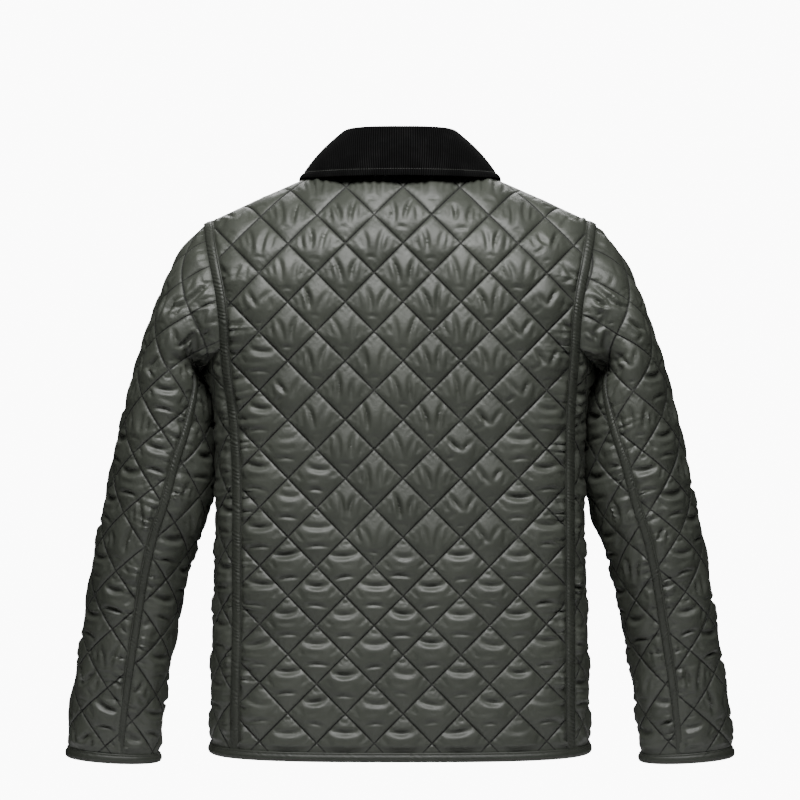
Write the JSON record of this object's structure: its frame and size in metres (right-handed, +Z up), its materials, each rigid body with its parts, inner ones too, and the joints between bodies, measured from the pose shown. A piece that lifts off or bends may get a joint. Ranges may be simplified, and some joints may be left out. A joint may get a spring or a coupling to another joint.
{
  "type": "quilted jacket",
  "caption": "Men's hip-length quilted jacket, dark olive nylon with a black corduroy collar, filled out as if worn, buttoned.",
  "frame": {"origin": "in the middle of the neck opening, level with the back neck seam, where the wearer's neck and shoulders carry the jacket", "axes": "+Z up, the front faces -Y and the back +Y, and the wearer's left sleeve is at +X"},
  "size_m": [0.8092, 0.2532, 0.7613],
  "materials": {
    "quilted_cloth": "satin nylon over thin wadding, dark olive grey",
    "binding_cloth": "satin nylon, folded and stitched, dark olive grey",
    "corduroy": "black cotton corduroy, matt, about ten cords to the inch",
    "aged_brass": "dull brass"
  },
  "bodies": {
    "root": {"back": "quilted_cloth", "front_left": "quilted_cloth", "front_right": "quilted_cloth", "sleeve_upper_left": "quilted_cloth", "sleeve_upper_right": "quilted_cloth", "sleeve_under_left": "quilted_cloth", "sleeve_under_right": "quilted_cloth", "side_strip_left": "quilted_cloth", "side_strip_right": "quilted_cloth", "elbow_strip_left": "quilted_cloth", "elbow_strip_right": "quilted_cloth", "hem_binding": "binding_cloth", "cuff_binding_left": "binding_cloth", "cuff_binding_right": "binding_cloth", "front_binding_left": "binding_cloth", "front_binding_right": "binding_cloth", "collar_fall": "corduroy", "collar_stand": "corduroy", "snap_1": "aged_brass", "snap_2": "aged_brass", "snap_3": "aged_brass", "snap_4": "aged_brass", "snap_5": "aged_brass"}
  },
  "joints": []
}
